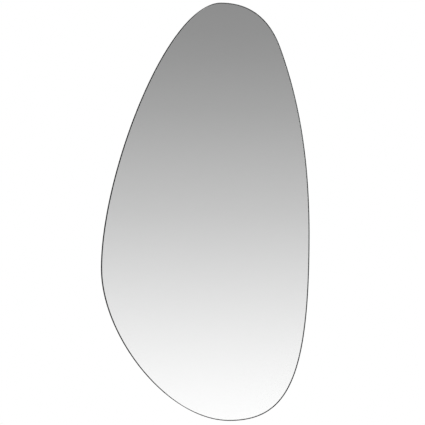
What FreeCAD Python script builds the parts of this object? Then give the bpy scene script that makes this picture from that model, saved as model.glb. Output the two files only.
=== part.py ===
import FreeCAD
import Part

import math
import os

from FreeCAD import Vector

# Wall mirror of irregular rounded outline: a silvered glass, taped to a board, in a thin steel rim. It
# hangs from two hinged rings behind the board. Sizes are in millimetres. Seen from the front, X runs to
# the right and Z up, and Y runs from the glass to the wall. The wall is the plane Y = 0. The origin is on
# it, midway between the two wall hooks and level with the place where the rings bear on them.

# Outline of the rim, drawn anticlockwise as five stretches between five points.
outline_width = 500.0
outline_height = 1000.0
crown_from_right = 213.0  # the highest point
left_point_height = 365.0  # the leftmost point, from the lowest
foot_from_right = 192.0  # the lowest point
right_point_height = 446.0  # the rightmost point, from the lowest
shoulder_from_right = 70.0  # a point on the way up to the crown
shoulder_below_crown = 108.0
shoulder_direction = 110.0  # degrees from +X to the way that the outline runs there

# How far each stretch holds to its direction at its start, and then to that at its end, as shares of the
# straight way between the two points.
left_flank_start_share = 0.185
left_flank_end_share = 0.32
left_foot_start_share = 0.335
left_foot_end_share = 0.315
right_foot_start_share = 0.29
right_foot_end_share = 0.71
right_flank_start_share = 0.315
right_flank_end_share = 0.36
shoulder_start_share = 0.555
shoulder_end_share = 0.25
arc_pairs_per_stretch = 4  # each stretch is built as pairs of tangent arcs

# Rim and the layers inside it, from the front to the back.
rim_thickness = 1.5
front_lip = 0.8  # the rim stands this far proud of the glass
glass_thickness = 4.0
glass_gap = 0.3
glass_arris = 0.2
coat_thickness = 0.1
tape_thickness = 1.0
tape_width = 20.0
tape_count = 5
tape_end_inset = 36.0
tape_side_inset = 75.0  # from the rim's sides to the outer strips' centre lines
board_thickness = 9.0
board_gap = 0.3
board_chamfer = 1.0

# Steel tabs, welded inside the rim behind the board.
tab_count = 8
tab_width = 18.0
tab_thickness = 1.2
tab_reach = 15.0
tab_setback = 1.0  # from the tab's upper edge to the rim's back edge
tab_corner_radius = 4.0
tab_hole_inset = 8.5  # from the rim's inner face

# Ring hangers: a folded steel strap, screwed to the board, that a wire ring turns in.
hooks_below_crown = 300.0  # where the rings bear on the wall hooks
hanger_spacing = 240.0
wire_diameter = 2.5
bar_clearance = 0.1  # all round, between the ring's bar and the loop of the strap
ring_bar_length = 14.0
ring_corner_radius = 3.5
ring_leg_length = 3.0
ring_rest_gap = 0.15  # left between the raised ring and the board
strap_thickness = 1.0
strap_width = 13.0
strap_seam = 0.1  # between the strap's two layers
strap_fold_radius = 0.8
strap_first_hole = 9.5  # below the bar
strap_hole_spacing = 17.5
loop_setback = 0.4  # from the loop to the plane of the rim's back edge

# Bumpers between the board and the wall.
wall_stand_off = 1.0  # from the rim's back edge to the wall
bumper_diameter = 13.0
bumper_rounding = 1.5
bumper_inset = 34.0
low_bumper_height = 110.0  # above the foot
high_bumpers_below_crown = 120.0

# Pan head screws.
screw_clearance = 0.5  # a plain hole is this much wider than its screw
screw_tip_length = 2.0
screw_tip_share = 0.25  # of the shank's width, at the very point
head_rounding_share = 0.6  # of the head's height
cross_slot_width = 0.85
cross_mouth_share = 0.54  # of the head's width, along each slot at the top
cross_floor_share = 0.26
cross_depth_share = 0.6  # of the head's height
tab_screw_shank = 3.0
tab_screw_head = 5.6
tab_screw_head_height = 1.9
tab_screw_cover = 2.2  # board left in front of the screw's point
tab_screw_turn = 25.0  # degrees that each screw is turned past the one before
hanger_screw_shank = 3.5
hanger_screw_head = 7.0
hanger_screw_head_height = 2.3
hanger_screw_cover = 1.6
hanger_screw_turn = 35.0

# Places in depth that follow from those sizes.
loop_inner_radius = wire_diameter / 2 + bar_clearance
loop_outer_radius = loop_inner_radius + strap_thickness
strap_height = 2 * strap_thickness + strap_seam
rim_back = -wall_stand_off
board_back = rim_back - loop_setback - 2 * loop_outer_radius
board_front = board_back - board_thickness
coat_back = board_front - tape_thickness
glass_back = coat_back - coat_thickness
glass_front = glass_back - glass_thickness
rim_front = glass_front - front_lip

# The raised ring leans on the board a little, and its crown bears on the hook at the origin's height.
ring_half_width = ring_bar_length / 2 + ring_corner_radius
ring_reach = ring_corner_radius + ring_leg_length + ring_half_width
ring_lean = math.asin((loop_outer_radius - wire_diameter / 2 - ring_rest_gap) / ring_reach)
bar_y = board_back + loop_outer_radius
bar_z = -(ring_reach - wire_diameter / 2) * math.cos(ring_lean)

to_wall = Vector(0, 1, 0)


# Outline: shapes in the plane of the glass


def direction(degrees):
    return Vector(math.cos(math.radians(degrees)), 0, math.sin(math.radians(degrees)))


def inward(way):
    return Vector(-way.z, 0, way.x)


def stretches():
    # Each stretch as (start, way there, share held, end, way there, share held), from the foot's level.
    crown = (Vector(outline_width - crown_from_right, 0, outline_height), direction(180))
    left = (Vector(0, 0, left_point_height), direction(270))
    foot = (Vector(outline_width - foot_from_right, 0, 0), direction(0))
    right = (Vector(outline_width, 0, right_point_height), direction(90))
    shoulder_place = Vector(outline_width - shoulder_from_right, 0, outline_height - shoulder_below_crown)
    shoulder = (shoulder_place, direction(shoulder_direction))
    return [
        (*crown, left_flank_start_share, *left, left_flank_end_share),
        (*left, left_foot_start_share, *foot, left_foot_end_share),
        (*foot, right_foot_start_share, *right, right_foot_end_share),
        (*right, right_flank_start_share, *shoulder, right_flank_end_share),
        (*shoulder, shoulder_start_share, *crown, shoulder_end_share),
    ]


def stations():
    # Points along the drawn outline, each with the way that it runs there.
    found = []
    for start, start_way, start_share, end, end_way, end_share in stretches():
        length = start.distanceToPoint(end)
        start_pole = start + start_way * length * start_share
        end_pole = end - end_way * length * end_share
        curve = Part.BezierCurve()
        curve.setPoles([start, start_pole, end_pole, end])
        for step in range(arc_pairs_per_stretch):
            share = step / arc_pairs_per_stretch
            found.append((curve.value(share), curve.tangent(share)[0]))
    return found


def arc_joints():
    # Two arcs join each station to the next and meet in a point where both run the same way.
    joints = []
    points = stations()
    for index, (start, start_way) in enumerate(points):
        end, end_way = points[(index + 1) % len(points)]
        across = end - start
        along = across.dot(start_way + end_way)
        bend = 2 * (1 - start_way.dot(end_way))
        reach = across.dot(across) / (along + math.sqrt(along**2 + bend * across.dot(across)))
        start_corner = start + start_way * reach
        end_corner = end - end_way * reach
        joints.append((start, start_way))
        joints.append(((start_corner + end_corner) * 0.5, (end_corner - start_corner).normalize()))
    return joints


def arc_edge(start, start_way, end, end_way, inset):
    # The arc between two joints, moved inwards. It keeps its centre, so the inset outline stays parallel.
    chord = end - start
    chord_way = chord * (1 / chord.Length)
    bulge = chord.Length / 4 / (1 + chord_way.dot(start_way))
    middle = (start + end) * 0.5 + (start_way - end_way) * bulge
    first = start + inward(start_way) * inset
    halfway = middle + inward(chord_way) * inset
    last = end + inward(end_way) * inset
    return Part.Arc(first, halfway, last).toShape()


def closed_wire(joints, inset):
    edges = []
    for index, (start, start_way) in enumerate(joints):
        end, end_way = joints[(index + 1) % len(joints)]
        edges.append(arc_edge(start, start_way, end, end_way, inset))
    return Part.Wire(edges)


# The mirror hangs plumb because the hooks are spaced evenly about the middle of its area.
drawn_joints = arc_joints()
balance_point = Part.Face(closed_wire(drawn_joints, 0)).CenterOfMass
origin_on_drawing = Vector(balance_point.x, 0, outline_height - hooks_below_crown)
outline_joints = [(place - origin_on_drawing, way) for place, way in drawn_joints]


def outline(inset, y):
    wire = closed_wire(outline_joints, inset)
    wire.translate(to_wall * y)
    return wire


def layer(inset, front, back):
    return Part.Face(outline(inset, front)).extrude(to_wall * (back - front))


def bevelled_layer(sections):
    # A plate through (inset, y) sections, with flat bevels from each to the next.
    return Part.makeLoft([outline(inset, y) for inset, y in sections], True, True)


def outline_ends(point, way, inset):
    # Where a straight line through the point enters and leaves the inset outline.
    beyond = way * (outline_width + outline_height)
    line = Part.makeLine(point - beyond, point + beyond)
    box = Part.Face(outline(inset, 0)).common(line).BoundBox
    return Vector(box.XMin, 0, box.ZMin), Vector(box.XMax, 0, box.ZMax)


def ends_at_height(height, inset):
    return outline_ends(Vector(0, 0, height), Vector(1, 0, 0), inset)


def ends_at_place(across, inset):
    return outline_ends(Vector(across, 0, 0), Vector(0, 0, 1), inset)


# Screws, each along Y with the underside of its head at the seat


def screw_shank(shank, length):
    straight = length - screw_tip_length
    cylinder = Part.makeCylinder(shank / 2, straight, Vector(), -to_wall)
    point = shank / 2 * screw_tip_share
    tip = Part.makeCone(shank / 2, point, screw_tip_length, -to_wall * straight, -to_wall)
    return cylinder.fuse(tip).removeSplitter()


def cross_slot(head, head_height, turn):
    # One of the recess's two slots, which taper towards their floor.
    mouth = slot_outline(head / 2 * cross_mouth_share, head_height)
    floor = slot_outline(head / 2 * cross_floor_share, head_height * (1 - cross_depth_share))
    slot = Part.makeLoft([mouth, floor], True, True)
    slot.rotate(Vector(), to_wall, turn)
    return slot


def slot_outline(half_length, y):
    half_width = cross_slot_width / 2
    corners = [
        Vector(-half_length, y, -half_width),
        Vector(half_length, y, -half_width),
        Vector(half_length, y, half_width),
        Vector(-half_length, y, half_width),
    ]
    return Part.makePolygon(corners + corners[:1])


def screw_head(head, head_height):
    blank = Part.makeCylinder(head / 2, head_height, Vector(), to_wall)
    crown_edge = [edge for edge in blank.Edges if edge.BoundBox.YMin > head_height / 2]
    blank = blank.makeFillet(head_height * head_rounding_share, crown_edge)
    return blank.cut(cross_slot(head, head_height, 0).fuse(cross_slot(head, head_height, 90)))


def screws(seats, shank, length, head, head_height, turn):
    # A row of screws, each turned further than the one before.
    pattern = screw_head(head, head_height).fuse(screw_shank(shank, length)).removeSplitter()
    placed = []
    for index, seat in enumerate(seats):
        screw = pattern.copy()
        screw.rotate(Vector(), to_wall, turn * index)
        screw.translate(seat)
        placed.append(screw)
    return Part.makeCompound(placed)


def screw_holes(seats, shank, length):
    holes = []
    for seat in seats:
        hole = screw_shank(shank, length)
        hole.translate(seat)
        holes.append(hole)
    return holes


# Rim and its tabs


def make_rim_band():
    return layer(0, rim_front, rim_back).cut(layer(rim_thickness, rim_front, rim_back))


def tab_stations():
    # Evenly spaced places on the rim's outer face, each with the way inwards.
    steps_each = 40
    places = outline(0, 0).discretize(Number=tab_count * steps_each + 1)
    found = []
    for number in range(tab_count):
        index = number * steps_each + steps_each // 2
        way = (places[index + 1] - places[index - 1]).normalize()
        found.append((places[index], inward(way)))
    return found


def tab_blank(place, into, height):
    # A block on the board, from the outline inwards, with its two inner corners rounded.
    length = rim_thickness + tab_reach
    block = Part.makeBox(length, height, tab_width, Vector(0, board_back, -tab_width / 2))
    inner_corners = []
    for edge in block.Edges:
        if edge.BoundBox.XMin > length / 2 and edge.BoundBox.YLength > height / 2:
            inner_corners.append(edge)
    block = block.makeFillet(tab_corner_radius, inner_corners)
    block.rotate(Vector(), -to_wall, math.degrees(math.atan2(into.z, into.x)))
    block.translate(place)
    return block


def tab_hole_centres(y):
    inset = rim_thickness + tab_hole_inset
    return [place + into * inset + to_wall * y for place, into in tab_stations()]


def make_tab(place, into, hole_centre, space, border):
    # A foot on the board and an upright against the rim, which shares the rim's curve.
    foot = tab_blank(place, into, tab_thickness).common(space)
    upright = tab_blank(place, into, rim_back - tab_setback - board_back).common(border)
    hole_radius = (tab_screw_shank + screw_clearance) / 2
    hole = Part.makeCylinder(hole_radius, tab_thickness, hole_centre, to_wall)
    return foot.fuse(upright).cut(hole).removeSplitter()


def make_tabs():
    space = layer(rim_thickness, board_back, rim_back)
    border = space.cut(layer(rim_thickness + tab_thickness, board_back, rim_back))
    tabs = []
    for (place, into), hole_centre in zip(tab_stations(), tab_hole_centres(board_back)):
        tabs.append(make_tab(place, into, hole_centre, space, border))
    return tabs


# Glass, tape and board


def make_glass():
    edge = rim_thickness + glass_gap
    return bevelled_layer(
        [
            (edge + glass_arris, glass_front),
            (edge, glass_front + glass_arris),
            (edge, glass_back - glass_arris),
            (edge + glass_arris, glass_back),
        ]
    )


def make_coat():
    return layer(rim_thickness + glass_gap + glass_arris, glass_back, coat_back)


def tape_centres():
    box = outline(tape_side_inset, 0).BoundBox
    spacing = (box.XMax - box.XMin) / (tape_count - 1)
    return [box.XMin + number * spacing for number in range(tape_count)]


def make_tape(centre):
    left = centre - tape_width / 2
    left_low, left_high = ends_at_place(left, tape_end_inset)
    right_low, right_high = ends_at_place(left + tape_width, tape_end_inset)
    low = max(left_low.z, right_low.z)
    high = min(left_high.z, right_high.z)
    return Part.makeBox(tape_width, tape_thickness, high - low, Vector(left, coat_back, low))


def make_board():
    edge = rim_thickness + board_gap
    board = bevelled_layer(
        [
            (edge, board_front),
            (edge, board_back - board_chamfer),
            (edge + board_chamfer, board_back),
        ]
    )
    holes = screw_holes(tab_screw_seats(), tab_screw_shank, tab_screw_length())
    holes += screw_holes(hanger_screw_seats(), hanger_screw_shank, hanger_screw_length())
    return board.cut(Part.makeCompound(holes))


def tab_screw_seats():
    return tab_hole_centres(board_back + tab_thickness)


def tab_screw_length():
    return tab_thickness + board_thickness - tab_screw_cover


def make_tab_screws():
    seats = tab_screw_seats()
    length = tab_screw_length()
    return screws(seats, tab_screw_shank, length, tab_screw_head, tab_screw_head_height, tab_screw_turn)


# Ring hangers, drawn about the middle of the ring's bar


def hanger_places():
    return {"left": -hanger_spacing / 2, "right": hanger_spacing / 2}


def strap_hole_drops():
    return [strap_first_hole, strap_first_hole + strap_hole_spacing]


def hanger_screw_seats():
    seats = []
    for across in hanger_places().values():
        for drop in strap_hole_drops():
            seats.append(Vector(across, board_back + strap_height, bar_z - drop))
    return seats


def hanger_screw_length():
    return strap_height + board_thickness - hanger_screw_cover


def make_hanger_screws():
    seats = hanger_screw_seats()
    length = hanger_screw_length()
    head_height = hanger_screw_head_height
    return screws(seats, hanger_screw_shank, length, hanger_screw_head, head_height, hanger_screw_turn)


def strap_side_face():
    # The folded strip from the side: from the board, over the bar, through the fold and down again.
    inner = loop_inner_radius
    outer = loop_outer_radius
    tongue_end = -(strap_first_hole + strap_hole_spacing + strap_width / 2)
    top = strap_height - outer
    underside = top - strap_thickness
    fold_y = top + strap_fold_radius
    fold = Vector(0, fold_y, -math.sqrt((outer + strap_fold_radius) ** 2 - fold_y**2))
    to_fold = Vector(0, fold.y, fold.z).normalize()
    over_bar = (to_fold - to_wall).normalize() * -1
    into_fold = (to_fold + to_wall).normalize() * -1

    def line(y_1, z_1, y_2, z_2):
        return Part.makeLine(Vector(0, y_1, z_1), Vector(0, y_2, z_2))

    def loop_arc(radius):
        return Part.Arc(to_wall * -radius, over_bar * radius, to_fold * radius).toShape()

    def fold_arc(radius):
        return Part.Arc(fold - to_fold * radius, fold + into_fold * radius, fold - to_wall * radius).toShape()

    edges = [
        line(-outer, tongue_end, -outer, 0),
        loop_arc(outer),
        fold_arc(strap_fold_radius),
        line(top, fold.z, top, tongue_end),
        line(top, tongue_end, underside, tongue_end),
        line(underside, tongue_end, underside, fold.z),
        fold_arc(strap_fold_radius + strap_thickness),
        loop_arc(inner),
        line(-inner, 0, -inner, tongue_end),
        line(-inner, tongue_end, -outer, tongue_end),
    ]
    return Part.Face(Part.Wire(edges))


def strap_blank():
    # The strap as the wall sees it: as wide as the loop, with a round end about the lower hole.
    half = strap_width / 2
    low = -(strap_first_hole + strap_hole_spacing)
    high = loop_outer_radius
    end = Part.Arc(Vector(-half, 0, low), Vector(0, 0, low - half), Vector(half, 0, low)).toShape()
    right = Part.makeLine(Vector(half, 0, low), Vector(half, 0, high))
    top = Part.makeLine(Vector(half, 0, high), Vector(-half, 0, high))
    left = Part.makeLine(Vector(-half, 0, high), Vector(-half, 0, low))
    plan = Part.Face(Part.Wire([end, right, top, left]))
    plan.translate(to_wall * -loop_outer_radius)
    return plan.extrude(to_wall * 2 * loop_outer_radius)


def make_strap(across):
    folded = strap_side_face().extrude(Vector(strap_width, 0, 0))
    folded.translate(Vector(-strap_width / 2, 0, 0))
    strap = folded.common(strap_blank())
    hole_radius = (hanger_screw_shank + screw_clearance) / 2
    for drop in strap_hole_drops():
        start = Vector(0, -loop_outer_radius, -drop)
        strap = strap.cut(Part.makeCylinder(hole_radius, strap_height, start, to_wall))
    strap.translate(Vector(across, bar_y, bar_z))
    return strap


def ring_path():
    # The wire's centre line, standing up: bar, corner, leg, half circle, leg and corner.
    bar = ring_bar_length / 2
    corner = ring_corner_radius
    slant = corner * math.sqrt(0.5)
    wide = ring_half_width
    shoulder = corner + ring_leg_length

    def corner_arc(side):
        middle = Vector(side * (bar + slant), 0, corner - slant)
        return Part.Arc(Vector(side * bar, 0, 0), middle, Vector(side * wide, 0, corner)).toShape()

    def leg(side):
        return Part.makeLine(Vector(side * wide, 0, corner), Vector(side * wide, 0, shoulder))

    arch = Part.Arc(Vector(wide, 0, shoulder), Vector(0, 0, ring_reach), Vector(-wide, 0, shoulder)).toShape()
    base = Part.makeLine(Vector(-bar, 0, 0), Vector(bar, 0, 0))
    return Part.Wire([base, corner_arc(1), leg(1), arch, leg(-1), corner_arc(-1)])


def make_ring(across):
    section = Part.makeCircle(wire_diameter / 2, Vector(-ring_bar_length / 2, 0, 0), Vector(1, 0, 0))
    ring = ring_path().makePipeShell([Part.Wire([section])], True, False)
    ring.rotate(Vector(), Vector(1, 0, 0), math.degrees(ring_lean))
    ring.translate(Vector(across, bar_y, bar_z))
    return ring


# Bumpers


def bumper_places():
    low = low_bumper_height - origin_on_drawing.z
    high = hooks_below_crown - high_bumpers_below_crown
    return [place for height in (low, high) for place in ends_at_height(height, bumper_inset)]


def make_bumper(place):
    height = -board_back
    bumper = Part.makeCylinder(bumper_diameter / 2, height, Vector(), to_wall)
    wall_edge = [edge for edge in bumper.Edges if edge.BoundBox.YMin > height / 2]
    bumper = bumper.makeFillet(bumper_rounding, wall_edge)
    bumper.translate(place + to_wall * board_back)
    return bumper


# Nodes


def make_nodes():
    nodes = {
        "rim_band": make_rim_band(),
        "mirror_glass": make_glass(),
        "silver_coat": make_coat(),
        "back_board": make_board(),
    }
    for number, tab in enumerate(make_tabs(), 1):
        nodes[f"rim_tab_{number}"] = tab
    for number, centre in enumerate(tape_centres(), 1):
        nodes[f"tape_strip_{number}"] = make_tape(centre)
    for side, across in hanger_places().items():
        nodes[f"hanger_strap_{side}"] = make_strap(across)
        nodes[f"hanger_ring_{side}"] = make_ring(across)
    for number, place in enumerate(bumper_places(), 1):
        nodes[f"wall_bumper_{number}"] = make_bumper(place)
    nodes["rim_tab_screws"] = make_tab_screws()
    nodes["hanger_screws"] = make_hanger_screws()
    return nodes


def main():
    os.makedirs("parts", exist_ok=True)
    for name, shape in make_nodes().items():
        shape.exportStep(f"parts/{name}.step")


main()
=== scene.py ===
# Wall mirror with an irregular rounded outline, hung from two rings behind it.
# Metres, Z up, the wall behind at Y = 0, seen from -Y.

from math import cos, pi, radians, sin

import bmesh
import bpy
from mathutils import Matrix, Vector


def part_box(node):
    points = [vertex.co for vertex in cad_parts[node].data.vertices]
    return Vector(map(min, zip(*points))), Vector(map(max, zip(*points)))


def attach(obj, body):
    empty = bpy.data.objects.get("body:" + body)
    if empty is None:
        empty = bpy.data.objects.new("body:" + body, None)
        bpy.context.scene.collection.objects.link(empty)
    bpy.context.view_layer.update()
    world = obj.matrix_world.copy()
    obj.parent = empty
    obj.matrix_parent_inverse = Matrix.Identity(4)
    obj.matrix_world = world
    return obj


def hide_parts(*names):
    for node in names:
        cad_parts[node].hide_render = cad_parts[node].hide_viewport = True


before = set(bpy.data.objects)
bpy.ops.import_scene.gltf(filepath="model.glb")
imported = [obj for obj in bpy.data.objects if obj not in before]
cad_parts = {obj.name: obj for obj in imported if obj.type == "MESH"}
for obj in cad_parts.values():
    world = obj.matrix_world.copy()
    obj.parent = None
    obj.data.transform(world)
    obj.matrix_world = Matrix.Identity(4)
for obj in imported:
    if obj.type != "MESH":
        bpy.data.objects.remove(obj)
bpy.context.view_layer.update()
print("Frame loaded,", len(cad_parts), "nodes")


# Helpers for finishes

def colour(red, green, blue):
    return (red, green, blue, 1)


def evenGrey(value):
    return colour(value, value, value)


class Amount:  # one socket, usable in sums
    def __init__(self, finish, socket):
        self.finish = finish
        self.socket = socket

    def math(self, operation, *values):
        return self.finish.node("Math", {"operation": operation}, dict(enumerate(values)))

    def __add__(self, other):
        return self.math("ADD", self, other)

    def __radd__(self, other):
        return self.math("ADD", other, self)

    def __sub__(self, other):
        return self.math("SUBTRACT", self, other)

    def __rsub__(self, other):
        return self.math("SUBTRACT", other, self)

    def __mul__(self, other):
        return self.math("MULTIPLY", self, other)

    def __rmul__(self, other):
        return self.math("MULTIPLY", other, self)

    def __abs__(self):
        return self.math("ABSOLUTE", self)


class Finish:  # the nodes of one material, or of the world
    def __init__(self, tree):
        self.tree = tree
        tree.nodes.clear()

    def node(self, kind, settings=None, inputs=None, output=0):
        made = self.tree.nodes.new("ShaderNode" + kind)
        for name, value in (settings or {}).items():
            if name == "stops":
                self.fillRamp(made.color_ramp, value)
            else:
                setattr(made, name, value)
        for name, value in (inputs or {}).items():
            if isinstance(value, Amount):
                self.tree.links.new(value.socket, made.inputs[name])
            else:
                made.inputs[name].default_value = value
        return Amount(self, made.outputs[output]) if made.outputs else made

    def fillRamp(self, ramp, stops):
        ramp.elements[0].position = stops[0][0]
        ramp.elements[-1].position = stops[-1][0]
        for place, _ in stops[1:-1]:
            ramp.elements.new(place)
        for element, (_, grey) in zip(ramp.elements, stops):
            element.color = evenGrey(grey)

    def objectPlace(self, scale=None):
        place = self.node("TexCoord", output="Object")
        if scale is None:
            return place
        return self.node("Mapping", inputs={"Vector": place, "Scale": scale})

    def part(self, vector, axis):
        return self.node("SeparateXYZ", inputs={0: vector}, output=axis)

    def faceWay(self, axis):
        return self.part(self.node("NewGeometry", output="Normal"), axis)

    def rayKind(self, kind):
        return self.node("LightPath", output=f"Is {kind} Ray")

    def either(self, first, second):
        return self.node("Math", {"operation": "MAXIMUM"}, {0: first, 1: second})

    def noise(self, place, scale, detail=3, roughness=0.55):
        inputs = {"Vector": place, "Scale": scale, "Detail": detail, "Roughness": roughness}
        return self.node("TexNoise", inputs=inputs)

    def step(self, value, low, high, lowTo=0, highTo=1):
        inputs = {"Value": value, 1: low, 2: high, 3: lowTo, 4: highTo}
        return self.node("MapRange", {"interpolation_type": "SMOOTHSTEP"}, inputs)

    def mixColour(self, factor, first, second, blend="MIX"):
        inputs = {0: factor, 6: first, 7: second}
        return self.node("Mix", {"data_type": "RGBA", "blend_type": blend}, inputs, 2)

    def bump(self, height, depth, strength):
        return self.node("Bump", inputs={"Height": height, "Distance": depth, "Strength": strength})


def newFinish(name, shader):
    material = bpy.data.materials.new(name)
    material.use_nodes = True
    finish = Finish(material.node_tree)
    surface = finish.node("BsdfPrincipled", inputs=shader(finish))
    finish.node("OutputMaterial", inputs={"Surface": surface})
    return material


# Black paint on the rim and its tabs, rubbed through in places along the front edge

blackSteelLook = {
    "coat": (colour(0.010, 0.010, 0.011), colour(0.020, 0.020, 0.021)),
    "bareSteel": colour(0.16, 0.155, 0.15),
    "roughness": 0.66,
    "shine": 0.12,
    "wear": 0.2,
    "wornDepths": (-0.02085, -0.02045),  # rubbed in front of the first, whole behind the second
}


def blackSteelShader(finish):
    look = blackSteelLook
    place = finish.objectPlace()
    peel = finish.noise(place, scale=950, detail=2)
    clouds = finish.noise(place, scale=38, detail=4)
    edge = finish.step(finish.part(place, "Y"), *look["wornDepths"], lowTo=1, highTo=0)
    nicks = finish.step(finish.noise(place, scale=420, detail=5, roughness=0.7), 0.60, 0.70)
    wear = edge * nicks * look["wear"]
    coat = finish.mixColour(clouds, *look["coat"])
    return {
        "Base Color": finish.mixColour(wear, coat, look["bareSteel"]),
        "Roughness": look["roughness"] + clouds * 0.12 - wear * 0.1,
        "Specular IOR Level": look["shine"],
        "Normal": finish.bump(peel, depth=0.00006, strength=0.5),
        "Metallic": wear,
    }


# Clear glass, a little greener and rougher at its arris

glassLook = {
    "clear": colour(0.992, 0.995, 0.993),
    "ground": colour(0.86, 0.94, 0.91),
    "groundRoughness": 0.05,
    "refraction": 1.52,
}


def glassShader(finish):
    look = glassLook
    place = finish.objectPlace()
    arris = finish.step(abs(finish.faceWay("Y")), 0.80, 0.98, lowTo=1, highTo=0)
    grinding = finish.noise(place, scale=1500)
    return {
        "Base Color": finish.mixColour(arris, look["clear"], look["ground"]),
        "Roughness": arris * (look["groundRoughness"] + grinding * 0.1),
        "IOR": look["refraction"],
        "Transmission Weight": 1.0,
    }


# Silver, very slightly hazy

silverLook = {
    "metal": (colour(0.962, 0.961, 0.962), colour(0.968, 0.967, 0.968)),
    "haze": 0.004,
}


def silverShader(finish):
    place = finish.objectPlace()
    clouds = finish.noise(place, scale=7, detail=2)
    return {
        "Base Color": finish.mixColour(clouds, *silverLook["metal"]),
        "Metallic": 1.0,
        "Roughness": clouds * silverLook["haze"],
    }


# Grey paint that keeps the silver from the air

backPaintLook = {
    "paint": (colour(0.19, 0.22, 0.24), colour(0.25, 0.28, 0.30)),
    "roughness": 0.45,
}


def backPaintShader(finish):
    place = finish.objectPlace()
    clouds = finish.noise(place, scale=60, detail=4)
    return {
        "Base Color": finish.mixColour(clouds, *backPaintLook["paint"]),
        "Roughness": backPaintLook["roughness"] + clouds * 0.2,
        "Normal": finish.bump(finish.noise(place, scale=800, detail=2), depth=0.00005, strength=0.5),
    }


# Pressed fibreboard, darker and coarser along its cut edge

fibreboardLook = {
    "base": (colour(0.370, 0.243, 0.140), colour(0.452, 0.305, 0.180)),
    "speckle": colour(0.330, 0.212, 0.120),
    "fleck": colour(0.225, 0.135, 0.075),
    "strand": colour(0.54, 0.40, 0.255),
    "cutEdge": colour(0.215, 0.128, 0.068),
    "roughness": 0.62,
}


def fibreboardShader(finish):
    look = fibreboardLook
    place = finish.objectPlace()
    clouds = finish.noise(place, scale=11, detail=5)
    speckle = finish.noise(place, scale=2600, roughness=0.7)
    flecks = finish.noise(finish.objectPlace((1, 1, 0.6)), scale=1500, detail=4, roughness=0.7)
    strands = finish.noise(finish.objectPlace((0.4, 1, 1)), scale=1300, detail=4, roughness=0.65)
    sanding = finish.noise(finish.objectPlace((1, 1, 0.01)), scale=2200, detail=2)
    cutEdge = finish.step(abs(finish.faceWay("Y")), 0.5, 0.95, lowTo=1, highTo=0)
    grain = finish.mixColour(clouds, *look["base"])
    grain = finish.mixColour(finish.step(speckle, 0.38, 0.66, highTo=0.5), grain, look["speckle"])
    grain = finish.mixColour(finish.step(flecks, 0.57, 0.70, highTo=0.5), grain, look["fleck"])
    grain = finish.mixColour(finish.step(strands, 0.58, 0.70, highTo=0.45), grain, look["strand"])
    height = speckle * 0.6 + flecks + sanding * 0.5 + cutEdge * strands * 2
    return {
        "Base Color": finish.mixColour(cutEdge * 0.75, grain, look["cutEdge"]),
        "Roughness": look["roughness"] + strands * 0.22,
        "Normal": finish.bump(height, depth=0.00007, strength=0.6),
    }


# Zinc plating on the straps and rings, with fine scratches across

zincLook = {
    "metal": (colour(0.56, 0.575, 0.60), colour(0.68, 0.68, 0.665)),
    "scratch": colour(0.80, 0.80, 0.80),
    "roughness": 0.24,
}


def zincShader(finish):
    look = zincLook
    place = finish.objectPlace()
    clouds = finish.noise(place, scale=210)
    fine = finish.noise(place, scale=1500, detail=4, roughness=0.7)
    drawn = finish.noise(finish.objectPlace((0.12, 1, 1)), scale=2600)
    scratches = finish.step(drawn, 0.62, 0.70)
    base = finish.mixColour(clouds, *look["metal"])
    return {
        "Base Color": finish.mixColour(scratches * 0.3, base, look["scratch"]),
        "Metallic": 1.0,
        "Roughness": look["roughness"] + clouds * 0.16 + fine * 0.1,
        "Normal": finish.bump(fine - scratches * 0.4, depth=0.00002, strength=0.6),
    }


# Brighter plating on the screws

screwSteelLook = {
    "metal": (colour(0.60, 0.61, 0.64), colour(0.74, 0.735, 0.70)),
    "roughness": 0.20,
}


def screwSteelShader(finish):
    place = finish.objectPlace()
    clouds = finish.noise(place, scale=500)
    fine = finish.noise(place, scale=3200)
    return {
        "Base Color": finish.mixColour(clouds, *screwSteelLook["metal"]),
        "Metallic": 1.0,
        "Roughness": screwSteelLook["roughness"] + clouds * 0.18,
        "Normal": finish.bump(fine, depth=0.000015, strength=0.5),
    }


# Black rubber with a little dust

rubberLook = {
    "rubber": colour(0.022, 0.022, 0.023),
    "dust": colour(0.10, 0.098, 0.094),
    "roughness": 0.62,
}


def rubberShader(finish):
    look = rubberLook
    place = finish.objectPlace()
    grain = finish.noise(place, scale=1700)
    dust = finish.step(finish.noise(place, scale=240, detail=4, roughness=0.65), 0.52, 0.75)
    return {
        "Base Color": finish.mixColour(dust * 0.5, look["rubber"], look["dust"]),
        "Roughness": look["roughness"] + grain * 0.25,
        "Normal": finish.bump(grain, depth=0.00006, strength=0.6),
    }


# Pale foam of the tape

foamLook = {
    "foam": (colour(0.74, 0.735, 0.71), colour(0.83, 0.825, 0.81)),
    "cellScale": 2400,
    "roughness": 0.7,
}


def foamShader(finish):
    look = foamLook
    place = finish.objectPlace()
    spread = {"Vector": place, "Scale": look["cellScale"]}
    cells = finish.node("TexVoronoi", inputs=spread, output="Distance")
    clouds = finish.noise(place, scale=120)
    return {
        "Base Color": finish.mixColour(clouds, *look["foam"]),
        "Roughness": look["roughness"] + cells * 0.2,
        "Normal": finish.bump(cells, depth=0.0001, strength=0.7),
    }


blackSteel = newFinish("blackSteel", blackSteelShader)
clearGlass = newFinish("clearGlass", glassShader)
silverLayer = newFinish("silverLayer", silverShader)
backPaint = newFinish("backPaint", backPaintShader)
fibreboard = newFinish("pressedFibreboard", fibreboardShader)
zincSteel = newFinish("zincSteel", zincShader)
screwSteel = newFinish("screwSteel", screwSteelShader)
rubber = newFinish("bumperRubber", rubberShader)
foamTape = newFinish("foamTape", foamShader)
print("Finishes made")


# Helpers for pieces; their angle limits are in degrees

def smoothBelow(bm, limit):
    for face in bm.faces:
        face.smooth = True
    for edge in bm.edges:
        edge.smooth = edge.calc_face_angle(0) < radians(limit)


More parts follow.
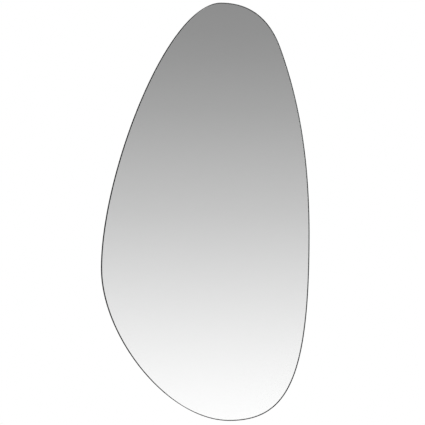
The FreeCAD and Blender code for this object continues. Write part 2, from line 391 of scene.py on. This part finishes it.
def addPiece(name, bm, finishes, body, nodes):
    mesh = bpy.data.meshes.new(name)
    bm.to_mesh(mesh)
    bm.free()
    for finish in finishes:
        mesh.materials.append(finish)
    piece = bpy.data.objects.new(name, mesh)
    bpy.context.scene.collection.objects.link(piece)
    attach(piece, body)
    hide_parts(*nodes)


def bevelEdges(bm, edges, offset, segments=1):
    bmesh.ops.bevel(bm, geom=edges, offset=offset, segments=segments, profile=0.5,
                    affect="EDGES", material=-1)


def sharpEdges(bm, limit=40):
    return [edge for edge in bm.edges if edge.calc_face_angle(0) > radians(limit)]


def meanDepth(edge):
    return (edge.verts[0].co.y + edge.verts[1].co.y) / 2


# Outline, shared by every flat layer and the rim

outlineSetup = {
    "stretchPoints": 96,  # points between one of those below and the next
    # place (x, z), the way the line runs there in degrees, its pull after and before the point
    "points": [
        ((0.0180, 0.300), 180, 0.185, 0.25),
        ((-0.2690, -0.335), 270, 0.335, 0.32),
        ((0.0390, -0.700), 0, 0.29, 0.315),
        ((0.2310, -0.254), 90, 0.315, 0.71),
        ((0.1610, 0.192), 110, 0.555, 0.36),
    ],
}


def makeOutline():
    points = outlineSetup["points"]
    spots = [Vector((place[0], 0, place[1])) for place, _, _, _ in points]
    curve = bpy.data.curves.new("outline", "CURVE")
    curve.dimensions = "3D"
    curve.resolution_u = outlineSetup["stretchPoints"]
    spline = curve.splines.new("BEZIER")
    spline.bezier_points.add(len(points) - 1)
    spline.use_cyclic_u = True
    for index, (_, way, after, before) in enumerate(points):
        here = spots[index]
        previous = spots[index - 1]
        following = spots[(index + 1) % len(spots)]
        along = Vector((cos(radians(way)), 0, sin(radians(way))))
        point = spline.bezier_points[index]
        point.handle_left_type = point.handle_right_type = "FREE"
        point.co = here
        point.handle_left = here - along * (here - previous).length * before
        point.handle_right = here + along * (following - here).length * after
    holder = bpy.data.objects.new("outline", curve)
    bpy.context.scene.collection.objects.link(holder)
    mesh = bpy.data.meshes.new_from_object(holder)
    bpy.data.objects.remove(holder)
    return mesh


outlineMesh = makeOutline()
outlinePoints = [vertex.co.copy() for vertex in outlineMesh.vertices]
outlineCentre = sum(outlinePoints, Vector()) / len(outlinePoints)


def outlineSheet(inset, depth):
    bm = bmesh.new()
    bm.from_mesh(outlineMesh)
    face = bmesh.ops.edgeloop_fill(bm, edges=bm.edges[:])["faces"][0]
    if inset:
        border = bmesh.ops.inset_individual(bm, faces=[face], thickness=inset, use_even_offset=True)
        bmesh.ops.delete(bm, geom=border["faces"], context="FACES")
    bmesh.ops.translate(bm, verts=bm.verts, vec=(0, depth, 0))
    return bm


def thicken(bm, thickness):
    grown = bmesh.ops.extrude_face_region(bm, geom=bm.faces[:])
    moved = [item for item in grown["geom"] if isinstance(item, bmesh.types.BMVert)]
    bmesh.ops.translate(bm, verts=moved, vec=(0, thickness, 0))
    bmesh.ops.recalc_face_normals(bm, faces=bm.faces)


def nearOutline(place):  # the outline's point beside a place, and the ways along and inward there
    spot = Vector((place.x, 0, place.z))
    count = len(outlinePoints)
    index = min(range(count), key=lambda i: (outlinePoints[i] - spot).length)
    here = outlinePoints[index]
    along = (outlinePoints[(index + 1) % count] - outlinePoints[index - 1]).normalized()
    inward = along.cross(Vector((0, 1, 0)))
    if inward.dot(outlineCentre - here) < 0:
        inward.negate()
    return here + along * (spot - here).dot(along), along, inward


print("Outline made,", len(outlinePoints), "points")


# Rim band, with a row of weld beads inside at its seam

rimSetup = {
    "front": -0.021,
    "depth": 0.020,
    "thickness": 0.0015,
    "rounding": 0.0003,
    "roundingSegments": 2,
    "smoothing": 20,
    "seamPlace": (0.039, 0, -0.700),
    "beadDepths": [-0.0056, -0.0049, -0.0042, -0.0035, -0.0028, -0.0021],
    "beadSize": (0.0012, 0.0005, 0.0007),  # half a bead's size along the rim, inward and in depth
}


def addBead(bm, foot, along, inward, depth, size):
    centre = Vector((foot.x, depth, foot.z))
    turn = Matrix((along, inward, along.cross(inward))).transposed().to_4x4()
    shape = Matrix.Translation(centre) @ turn @ Matrix.Diagonal((*size, 1))
    bmesh.ops.create_icosphere(bm, subdivisions=3, radius=1, matrix=shape)


def makeRim():
    bm = outlineSheet(0, rimSetup["front"])
    middle = bm.faces[:]
    bmesh.ops.inset_individual(bm, faces=middle, thickness=rimSetup["thickness"], use_even_offset=True)
    bmesh.ops.delete(bm, geom=middle, context="FACES_ONLY")
    thicken(bm, rimSetup["depth"])
    bevelEdges(bm, sharpEdges(bm), rimSetup["rounding"], rimSetup["roundingSegments"])
    foot, along, inward = nearOutline(Vector(rimSetup["seamPlace"]))
    for depth in rimSetup["beadDepths"]:
        addBead(bm, foot + inward * rimSetup["thickness"], along, inward, depth, rimSetup["beadSize"])
    smoothBelow(bm, rimSetup["smoothing"])
    addPiece("rimBand", bm, [blackSteel], "mirror", ["rim_band"])


makeRim()
print("Rim band made")


# Glass pane

glassSetup = {
    "inset": 0.0018,
    "front": -0.0202,
    "thickness": 0.004,
    "arris": 0.0002,
    "smoothing": 30,
}


def makeGlass():
    bm = outlineSheet(glassSetup["inset"], glassSetup["front"])
    thicken(bm, glassSetup["thickness"])
    bevelEdges(bm, sharpEdges(bm), glassSetup["arris"])
    smoothBelow(bm, glassSetup["smoothing"])
    addPiece("mirrorGlass", bm, [clearGlass], "mirror", ["mirror_glass"])


# Silver coat, painted on its back and edge

silverSetup = {
    "inset": 0.0020,
    "front": -0.01622,
    "thickness": 0.00012,
    "smoothing": 30,
    "facingForward": -0.9,  # a face whose normal lies below this in Y is silver
}


def makeSilver():
    bm = outlineSheet(silverSetup["inset"], silverSetup["front"])
    thicken(bm, silverSetup["thickness"])
    for face in bm.faces:
        face.material_index = 0 if face.normal.y < silverSetup["facingForward"] else 1
    smoothBelow(bm, silverSetup["smoothing"])
    addPiece("silverCoat", bm, [silverLayer, backPaint], "mirror", ["silver_coat"])


# Back board, chamfered at the rear and eased at the front

boardSetup = {
    "inset": 0.0018,
    "front": -0.0151,
    "thickness": 0.009,
    "chamfer": 0.001,
    "easing": 0.0003,
    "easingSegments": 2,
    "squareAbove": 80,
    "smoothing": 20,
}


def makeBoard():
    bm = outlineSheet(boardSetup["inset"], boardSetup["front"])
    thicken(bm, boardSetup["thickness"])
    middle = boardSetup["front"] + boardSetup["thickness"] / 2
    rear = [edge for edge in sharpEdges(bm) if meanDepth(edge) > middle]
    bevelEdges(bm, rear, boardSetup["chamfer"])
    stillSquare = sharpEdges(bm, boardSetup["squareAbove"])
    bevelEdges(bm, stillSquare, boardSetup["easing"], boardSetup["easingSegments"])
    smoothBelow(bm, boardSetup["smoothing"])
    addPiece("backBoard", bm, [fibreboard], "mirror", ["back_board"])


makeGlass()
makeSilver()
makeBoard()
print("Glass, silver and board made")


# Tape strips, the frame's own pieces with a foam finish

tapeSetup = {
    "count": 5,
}

for number in range(1, tapeSetup["count"] + 1):
    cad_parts[f"tape_strip_{number}"].material_slots[0].material = foamTape
print("Tape finished")


# Tabs, straps and screws are copies of the frame's pieces; the screws keep their edges as they are

copySetup = {
    "mergeWithin": 0.000002,
    "flatBelow": 0.1,
    "easingSegments": 2,
}


def easedCopy(node, easing=0):
    bm = bmesh.new()
    bm.from_mesh(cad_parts[node].data)
    bmesh.ops.remove_doubles(bm, verts=bm.verts, dist=copySetup["mergeWithin"])
    flat = radians(copySetup["flatBelow"])
    bmesh.ops.dissolve_limit(bm, angle_limit=flat, verts=bm.verts, edges=bm.edges)
    if easing:
        convex = [edge for edge in sharpEdges(bm) if edge.is_convex]
        bevelEdges(bm, convex, easing, copySetup["easingSegments"])
    return bm


# Rim tabs, each with a weld bead row at both ends

tabSetup = {
    "count": 8,
    "easing": 0.00015,
    "smoothing": 20,
    "beadDepths": [-0.0052, -0.0042, -0.0032],
    "beadSpread": 0.0090,
    "beadInset": 0.0020,
    "beadSize": (0.0011, 0.0008, 0.0009),  # half a bead's size along the rim, inward and in depth
}


def makeTab(number):
    node = f"rim_tab_{number}"
    low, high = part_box(node)
    bm = easedCopy(node, tabSetup["easing"])
    foot, along, inward = nearOutline((Vector(low) + Vector(high)) / 2)
    for side in (-1, 1):
        spot = foot + along * side * tabSetup["beadSpread"] + inward * tabSetup["beadInset"]
        for depth in tabSetup["beadDepths"]:
            addBead(bm, spot, along, inward, depth, tabSetup["beadSize"])
    smoothBelow(bm, tabSetup["smoothing"])
    addPiece(f"rimTab{number}", bm, [blackSteel], "mirror", [node])


for number in range(1, tabSetup["count"] + 1):
    makeTab(number)
print("Rim tabs made")


# Hanger straps

strapSetup = {
    "easing": 0.00018,
    "smoothing": 20,
}


def makeStrap(side):
    node = f"hanger_strap_{side}"
    bm = easedCopy(node, strapSetup["easing"])
    smoothBelow(bm, strapSetup["smoothing"])
    addPiece(f"hangerStrap_{side}", bm, [zincSteel], "mirror", [node])


for side in ("left", "right"):
    makeStrap(side)
print("Hanger straps made")


# Screws

screwSetup = {
    "smoothing": 28,
}


def makeScrews(name, node):
    bm = easedCopy(node)
    smoothBelow(bm, screwSetup["smoothing"])
    addPiece(name, bm, [screwSteel], "mirror", [node])


makeScrews("tabScrews", "rim_tab_screws")
makeScrews("hangerScrews", "hanger_screws")
print("Screws made")


# Hanger rings, bent from wire

ringSetup = {
    "wire": 0.0025,
    "wireSides": 24,
    "barLength": 0.014,
    "cornerRadius": 0.0035,
    "cornerSteps": 10,
    "legLength": 0.003,
    "archSteps": 40,
    "lean": 3.2,  # degrees past upright, as it rests on the board
    "barY": -0.00375,
    "barZ": -0.015725,
    "hangerX": {"left": -0.120, "right": 0.120},
    "mergeWithin": 0.00001,
    "smoothing": 50,
}


def makeRing(side):
    bm = bmesh.new()
    bar = ringSetup["barLength"] / 2
    corner = ringSetup["cornerRadius"]
    shoulder = corner + ringSetup["legLength"]
    section = Matrix.Translation((-bar, 0, 0)) @ Matrix.Rotation(pi / 2, 4, "Y")
    bmesh.ops.create_circle(bm, segments=ringSetup["wireSides"],
                            radius=ringSetup["wire"] / 2, matrix=section)
    end = {"edges": bm.edges[:]}

    def run(way):
        grown = bmesh.ops.extrude_edge_only(bm, edges=end["edges"])["geom"]
        moved = [item for item in grown if isinstance(item, bmesh.types.BMVert)]
        bmesh.ops.translate(bm, verts=moved, vec=way)
        end["edges"] = [item for item in grown if isinstance(item, bmesh.types.BMEdge)]

    def bend(centre, angle, steps):
        turned = bmesh.ops.spin(bm, geom=end["edges"], cent=centre, axis=(0, -1, 0),
                                angle=angle, steps=steps, use_duplicate=False)
        end["edges"] = [item for item in turned["geom_last"] if isinstance(item, bmesh.types.BMEdge)]

    # along the bar, up one leg, over the arch and down to the bar's start
    run((ringSetup["barLength"], 0, 0))
    bend((bar, 0, corner), pi / 2, ringSetup["cornerSteps"])
    run((0, 0, ringSetup["legLength"]))
    bend((0, 0, shoulder), pi, ringSetup["archSteps"])
    run((0, 0, -ringSetup["legLength"]))
    bend((-bar, 0, corner), pi / 2, ringSetup["cornerSteps"])
    bmesh.ops.remove_doubles(bm, verts=bm.verts, dist=ringSetup["mergeWithin"])
    bmesh.ops.recalc_face_normals(bm, faces=bm.faces)
    place = Matrix.Translation((ringSetup["hangerX"][side], ringSetup["barY"], ringSetup["barZ"]))
    lean = Matrix.Rotation(radians(ringSetup["lean"]), 4, "X")
    bmesh.ops.transform(bm, matrix=place @ lean, verts=bm.verts)
    smoothBelow(bm, ringSetup["smoothing"])
    node = f"hanger_ring_{side}"
    addPiece(f"hangerRing_{side}", bm, [zincSteel], f"ring_{side}", [node])


for side in ("left", "right"):
    makeRing(side)
print("Hanger rings made")


# Wall bumpers, each on a thin pad and slightly dished where it meets the wall

bumperSetup = {
    "count": 4,
    "radius": 0.0065,
    "turns": 48,
    "padThickness": 0.0004,
    "padStep": 0.0002,
    "rounding": 0.0015,
    "roundingSteps": 6,
    "dishRadius": 0.0040,
    "dishSlope": 0.0004,
    "dishDepth": 0.0002,
    "mergeWithin": 0.000001,
    "smoothing": 35,
}


def bumperProfile(base, wall):  # from the middle of the pad to the middle of the dish
    radius, rounding = bumperSetup["radius"], bumperSetup["rounding"]
    padEdge = radius - bumperSetup["padStep"]
    padTop = base + bumperSetup["padThickness"]
    profile = [(0, base), (padEdge, base), (padEdge, padTop), (radius, padTop + bumperSetup["padStep"])]
    profile.append((radius, wall - rounding))
    for step in range(1, bumperSetup["roundingSteps"] + 1):
        angle = step / bumperSetup["roundingSteps"] * pi / 2
        profile.append((radius - rounding + rounding * cos(angle), wall - rounding + rounding * sin(angle)))
    dish, dishFloor = bumperSetup["dishRadius"], wall - bumperSetup["dishDepth"]
    return profile + [(dish, wall), (dish - bumperSetup["dishSlope"], dishFloor), (0, dishFloor)]


def makeBumper(number):
    node = f"wall_bumper_{number}"
    low, high = (Vector(corner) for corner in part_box(node))
    centre = (low + high) / 2
    bm = bmesh.new()
    line = [bm.verts.new((centre.x + out, depth, centre.z)) for out, depth in bumperProfile(low.y, high.y)]
    edges = [bm.edges.new(pair) for pair in zip(line, line[1:])]
    bmesh.ops.spin(bm, geom=line + edges, cent=(centre.x, 0, centre.z), axis=(0, 1, 0), angle=2 * pi,
                   steps=bumperSetup["turns"], use_merge=True)
    bmesh.ops.remove_doubles(bm, verts=bm.verts, dist=bumperSetup["mergeWithin"])
    bmesh.ops.recalc_face_normals(bm, faces=bm.faces)
    smoothBelow(bm, bumperSetup["smoothing"])
    addPiece(f"wallBumper{number}", bm, [rubber], "mirror", [node])


for number in range(1, bumperSetup["count"] + 1):
    makeBumper(number)
print("Wall bumpers made")


# The room round the mirror: what its glass and metal show, and the soft light on the rest

studioSetup = {
    "softLight": 0.52,
    # upward slope of a reflected ray, and how bright the room is there
    "roomGreys": [
        (-0.98, 0.34), (-0.62, 0.44), (-0.30, 0.66), (-0.12, 0.98), (-0.0605, 1.035), (-0.045, 0.935),
        (-0.030, 0.82), (0.0006, 0.579), (0.030, 0.398), (0.048, 0.318), (0.060, 0.282), (0.30, 0.36),
        (0.60, 0.80), (0.98, 0.95),
    ],
    # how far to the side a reflected ray runs where the room begins to darken, and where it is darkest
    "sideRange": (0.20, 0.95),
    "sideGrey": 0.60,
}


def makeWorld():
    world = bpy.data.worlds.new("studio")
    bpy.context.scene.world = world
    world.use_nodes = True
    finish = Finish(world.node_tree)
    way = finish.node("TexCoord", output="Generated")
    height = (finish.part(way, "Z") + 1.0) * 0.5  # slopes from -1 to 1 fill the ramp
    stops = [((slope + 1.0) * 0.5, grey) for slope, grey in studioSetup["roomGreys"]]
    room = finish.node("ValToRGB", {"stops": stops}, {"Fac": height})
    aside = finish.step(abs(finish.part(way, "X")), *studioSetup["sideRange"])
    room = finish.mixColour(aside, room, evenGrey(studioSetup["sideGrey"]), "MULTIPLY")
    seen = finish.rayKind("Camera")
    mirrored = finish.either(finish.rayKind("Glossy"), finish.rayKind("Transmission"))
    shown = finish.mixColour(mirrored, evenGrey(studioSetup["softLight"]), room)
    shown = finish.mixColour(seen, shown, evenGrey(1))  # the camera itself sees plain white
    background = finish.node("Background", inputs={"Color": shown, "Strength": 1.0})
    finish.node("OutputWorld", inputs={"Surface": background})


# Pale floor, which turns white far out, and is clear from below and in the glass

floorSetup = {
    "height": -1.10,
    "radius": 4.5,
    "sides": 96,
    "paint": (evenGrey(0.86), evenGrey(0.89)),
    "whiteRange": (1.4, 3.0),
}


def makeFloor():
    material = bpy.data.materials.new("paleFloor")
    material.use_nodes = True
    finish = Finish(material.node_tree)
    place = finish.objectPlace()
    away = finish.node("VectorMath", {"operation": "LENGTH"}, {0: place}, "Value")
    mottle = finish.noise(place, scale=3, detail=4)
    paint = finish.node("BsdfDiffuse", inputs={"Color": finish.mixColour(mottle, *floorSetup["paint"])})
    white = finish.node("Emission", inputs={"Color": evenGrey(1), "Strength": 1.0})
    clear = finish.node("BsdfTransparent")
    far = finish.step(away, *floorSetup["whiteRange"]) * finish.rayKind("Camera")
    surface = finish.node("MixShader", inputs={0: far, 1: paint, 2: white})
    mirrored = finish.either(finish.rayKind("Glossy"), finish.rayKind("Transmission"))
    hidden = finish.either(mirrored, finish.node("NewGeometry", output="Backfacing"))
    surface = finish.node("MixShader", inputs={0: hidden, 1: surface, 2: clear})
    finish.node("OutputMaterial", inputs={"Surface": surface})
    bm = bmesh.new()
    bmesh.ops.create_circle(bm, cap_ends=True, segments=floorSetup["sides"], radius=floorSetup["radius"])
    mesh = bpy.data.meshes.new("floor")
    bm.to_mesh(mesh)
    bm.free()
    mesh.materials.append(material)
    floor = bpy.data.objects.new("floor", mesh)
    floor.location = (0, 0, floorSetup["height"])
    bpy.context.scene.collection.objects.link(floor)


# Lamps; glints says whether polished surfaces show the lamp

lampSetup = {
    "aim": (-0.019, 0.0, -0.2),
    "lamps": {
        "frontRight": {"place": (1.9, -1.9, 1.7), "size": 1.6, "power": 48, "glints": False},
        "frontLeft": {"place": (-0.9, -2.7, 1.5), "size": 1.8, "power": 16, "glints": False},
        "rearHigh": {"place": (0.5, 2.1, 2.0), "size": 1.4, "power": 36, "glints": True},
        "rearRight": {"place": (2.1, 1.7, 0.6), "size": 1.4, "power": 26, "glints": True},
    },
}


def makeLamps():
    aim = Vector(lampSetup["aim"])
    for name, lamp in lampSetup["lamps"].items():
        light = bpy.data.lights.new(name, "AREA")
        light.shape = "SQUARE"
        light.size = lamp["size"]
        light.energy = lamp["power"]
        holder = bpy.data.objects.new(name, light)
        holder.location = lamp["place"]
        holder.rotation_euler = (aim - Vector(lamp["place"])).to_track_quat("-Z", "Y").to_euler()
        holder.visible_camera = False
        holder.visible_transmission = False  # the mirror shows the room, not the lamps
        holder.visible_glossy = lamp["glints"]
        bpy.context.scene.collection.objects.link(holder)


# Camera, a little to the left of the mirror's middle

cameraSetup = {
    "lens": 280,
    "sensor": 36,
    "distance": 7.91,
    "azimuth": -6.0,
    "elevation": 0.0,
    "aim": (-0.00195, -0.0105, -0.2017),
}


def makeCamera():
    turn, rise = radians(cameraSetup["azimuth"]), radians(cameraSetup["elevation"])
    back = Vector((sin(turn) * cos(rise), -cos(turn) * cos(rise), sin(rise)))
    data = bpy.data.cameras.new("camera")
    data.lens = cameraSetup["lens"]
    data.sensor_width = cameraSetup["sensor"]
    camera = bpy.data.objects.new("camera", data)
    camera.location = Vector(cameraSetup["aim"]) + back * cameraSetup["distance"]
    camera.rotation_mode = "QUATERNION"
    camera.rotation_quaternion = (-back).to_track_quat("-Z", "Y")
    bpy.context.scene.collection.objects.link(camera)
    bpy.context.scene.camera = camera


makeWorld()
makeFloor()
makeLamps()
makeCamera()
bpy.context.scene.view_settings.view_transform = "Standard"
print("Studio made")
